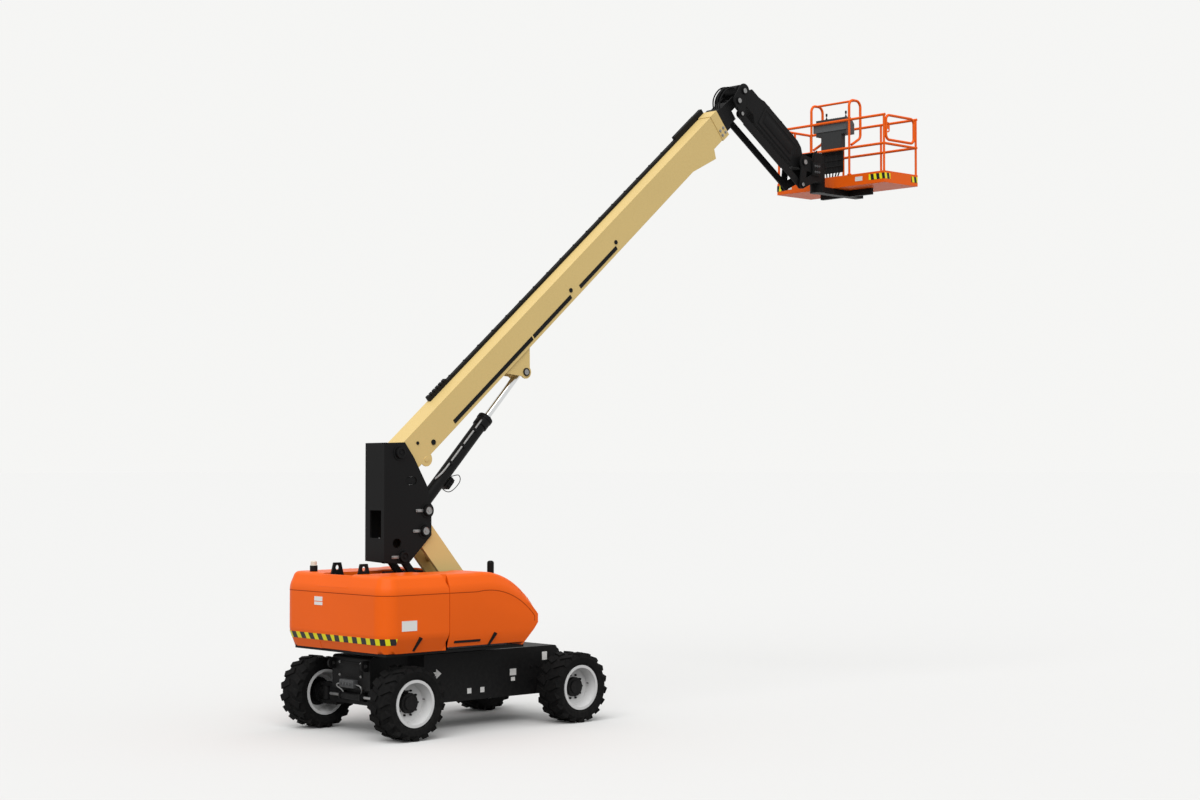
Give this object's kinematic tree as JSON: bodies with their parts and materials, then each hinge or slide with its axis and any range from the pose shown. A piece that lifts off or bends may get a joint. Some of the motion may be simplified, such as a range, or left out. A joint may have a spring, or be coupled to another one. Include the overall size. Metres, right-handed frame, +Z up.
{
  "type": "telescopic boom lift",
  "caption": "Self-propelled telescopic boom lift: turntable on a wheeled chassis, tower linkage, sliding boom, jib and railed platform that turns.",
  "frame": {"origin": "on the floor under the middle of the machine's whole bounding box, as it stands in the picture", "axes": "+X along the machine from the counterweight to the platform, +Y to its left, +Z up"},
  "size_m": [11.4835, 2.507, 10.0913],
  "materials": {
    "orange_paint": "gloss",
    "cream_paint": "gloss",
    "black_paint": "satin",
    "ballast": "gloss",
    "cover": "gloss",
    "tyre": "matte",
    "rim": "satin",
    "chrome": "polished",
    "engine": "satin",
    "plastic": "matte",
    "grey_plastic": "matte",
    "orange_alloy": "gloss",
    "lens": "gloss"
  },
  "bodies": {
    "chassis": {"chassis_frame": "black_paint", "drive_axle": "black_paint", "steer_axle": "black_paint", "swing_ring": "black_paint"},
    "knuckle_left": {"knuckle_left": "black_paint"},
    "knuckle_right": {"knuckle_right": "black_paint"},
    "steer_rod": {"steer_rod": "chrome"},
    "wheel_drive_left": {"tyre_drive_left": "tyre", "rim_drive_left": "rim", "hub_drive_left": "black_paint"},
    "wheel_drive_right": {"tyre_drive_right": "tyre", "rim_drive_right": "rim", "hub_drive_right": "black_paint"},
    "wheel_steer_left": {"tyre_steer_left": "tyre", "rim_steer_left": "rim", "hub_steer_left": "black_paint"},
    "wheel_steer_right": {"tyre_steer_right": "tyre", "rim_steer_right": "rim", "hub_steer_right": "black_paint"},
    "turntable": {"turntable_deck": "black_paint", "cheek_left": "black_paint", "cheek_right": "black_paint", "counterweight": "ballast", "engine": "engine", "tank": "plastic", "exhaust": "black_paint", "beacon": "lens"},
    "hood_left": {"hood_left": "cover"},
    "hood_right": {"hood_right": "cover"},
    "tower_link": {"tower_link": "cream_paint"},
    "timing_link": {"timing_link": "black_paint"},
    "upright": {"upright": "black_paint"},
    "base_boom": {"base_boom": "cream_paint", "hose_track": "plastic"},
    "lift_barrel": {"lift_barrel": "black_paint"},
    "lift_rod": {"lift_rod": "chrome"},
    "mid_boom": {"mid_boom": "black_paint"},
    "fly_boom": {"fly_boom": "black_paint"},
    "jib_bracket": {"jib_bracket": "black_paint"},
    "jib_arm": {"jib_arm": "black_paint"},
    "jib_link": {"jib_link_left": "black_paint", "jib_link_right": "black_paint"},
    "jib_end": {"jib_end": "black_paint"},
    "platform": {"rotator_arm": "black_paint", "platform_floor": "orange_alloy", "rail_back": "orange_paint", "rail_front": "orange_paint", "rail_end": "orange_paint", "gate_rail": "orange_paint", "console_guard": "orange_paint", "console": "grey_plastic"},
    "gate": {"gate": "orange_paint"}
  },
  "joints": [
    {"name": "steering", "type": "hinge", "parent": "chassis", "child": "knuckle_right", "pos_m": [-5.23494, -0.8, 0.51], "axis": [0, 0, 1], "range_deg": [-35, 35]},
    {"name": "steering_left", "type": "hinge", "parent": "chassis", "child": "knuckle_left", "pos_m": [-5.23494, 0.8, 0.51], "axis": [0, 0, 1], "range_deg": [-35.1, 35.1]},
    {"name": "steer_rod_slide", "type": "slide", "parent": "chassis", "child": "steer_rod", "axis": [0, 1, 0], "range_m": [-0.11584, 0.11584]},
    {"name": "spin_drive_left", "type": "hinge", "parent": "chassis", "child": "wheel_drive_left", "pos_m": [-2.18494, 1.03, 0.51], "axis": [0, 1, 0], "continuous": true},
    {"name": "spin_drive_right", "type": "hinge", "parent": "chassis", "child": "wheel_drive_right", "pos_m": [-2.18494, -1.03, 0.51], "axis": [0, 1, 0], "continuous": true},
    {"name": "spin_steer_left", "type": "hinge", "parent": "knuckle_left", "child": "wheel_steer_left", "pos_m": [-5.23494, 1.03, 0.51], "axis": [0, 1, 0], "continuous": true},
    {"name": "spin_steer_right", "type": "hinge", "parent": "knuckle_right", "child": "wheel_steer_right", "pos_m": [-5.23494, -1.03, 0.51], "axis": [0, 1, 0], "continuous": true},
    {"name": "swing", "type": "hinge", "parent": "chassis", "child": "turntable", "pos_m": [-3.70994, 0, 1.15], "axis": [0, 0, 1], "continuous": true},
    {"name": "hood_left_lift", "type": "hinge", "parent": "turntable", "child": "hood_left", "pos_m": [-3.70994, 0.49, 2.2], "axis": [1, 0, 0], "range_deg": [0, 55]},
    {"name": "hood_right_lift", "type": "hinge", "parent": "turntable", "child": "hood_right", "pos_m": [-3.70994, -0.49, 2.2], "axis": [-1, 0, 0], "range_deg": [0, 55]},
    {"name": "tower_lift", "type": "hinge", "parent": "turntable", "child": "tower_link", "pos_m": [-3.59808, 0, 2.01756], "axis": [0, 1, 0], "range_deg": [-61.5, 0]},
    {"name": "timing_turn", "type": "hinge", "parent": "turntable", "child": "timing_link", "pos_m": [-3.97808, 0, 1.65755], "axis": [0, 1, 0], "range_deg": [-61.6, 0.1]},
    {"name": "upright_level", "type": "hinge", "parent": "tower_link", "child": "upright", "pos_m": [-4.28694, 0, 2.81], "axis": [0, 1, 0], "range_deg": [-0.1, 61.6]},
    {"name": "boom_lift", "type": "hinge", "parent": "upright", "child": "base_boom", "pos_m": [-4.73994, 0, 3.92], "axis": [0, -1, 0], "range_deg": [-40.4, 31.6]},
    {"name": "lift_barrel_turn", "type": "hinge", "parent": "upright", "child": "lift_barrel", "pos_m": [-4.23694, 0, 3.1], "axis": [0, -1, 0], "range_deg": [-37.67, 29.49]},
    {"name": "lift_rod_slide", "type": "slide", "parent": "lift_barrel", "child": "lift_rod", "axis": [0.685, 0, 0.7286], "range_m": [-0.6215, 0.48634]},
    {"name": "telescope", "type": "slide", "parent": "base_boom", "child": "mid_boom", "axis": [0.7615, 0, 0.6481], "range_m": [0, 5.9]},
    {"name": "fly_slide", "type": "slide", "parent": "mid_boom", "child": "fly_boom", "axis": [0.7615, 0, 0.6481], "range_m": [-0.001, 5.901]},
    {"name": "head_level", "type": "hinge", "parent": "fly_boom", "child": "jib_bracket", "pos_m": [2.28979, 0, 9.77014], "axis": [0, -1, 0], "range_deg": [-31.7, 40.5]},
    {"name": "jib_lift", "type": "hinge", "parent": "jib_bracket", "child": "jib_arm", "pos_m": [2.41979, 0, 9.95014], "axis": [0, -1, 0], "range_deg": [-25.5, 99.5]},
    {"name": "jib_link_turn", "type": "hinge", "parent": "jib_bracket", "child": "jib_link", "pos_m": [2.35979, 0, 9.56014], "axis": [0, -1, 0], "range_deg": [-25.6, 99.6]},
    {"name": "jib_end_level", "type": "hinge", "parent": "jib_arm", "child": "jib_end", "pos_m": [3.92794, 0, 8.91362], "axis": [0, -1, 0], "range_deg": [-99.6, 25.6]},
    {"name": "platform_rotate", "type": "hinge", "parent": "jib_end", "child": "platform", "pos_m": [4.50994, 0, 8.55962], "axis": [0, 0, 1], "range_deg": [-90, 90]},
    {"name": "gate_swing", "type": "hinge", "parent": "platform", "child": "gate", "pos_m": [5.66294, -1.197, 9.71962], "axis": [0, 0, -1], "range_deg": [0, 85]}
  ],
  "couplings": [
    {"joint": "steering_left", "follows": "steering", "ratio": 1},
    {"joint": "steer_rod_slide", "follows": "steering", "m_per_rad": 0.188},
    {"joint": "timing_turn", "follows": "tower_lift", "ratio": 1},
    {"joint": "upright_level", "follows": "tower_lift", "ratio": -1},
    {"joint": "lift_barrel_turn", "follows": "boom_lift", "ratio": 0.93},
    {"joint": "lift_rod_slide", "follows": "boom_lift", "m_per_rad": 0.88},
    {"joint": "head_level", "follows": "boom_lift", "ratio": -1},
    {"joint": "fly_slide", "follows": "telescope", "ratio": 1},
    {"joint": "jib_link_turn", "follows": "jib_lift", "ratio": 1},
    {"joint": "jib_end_level", "follows": "jib_lift", "ratio": -1}
  ]
}
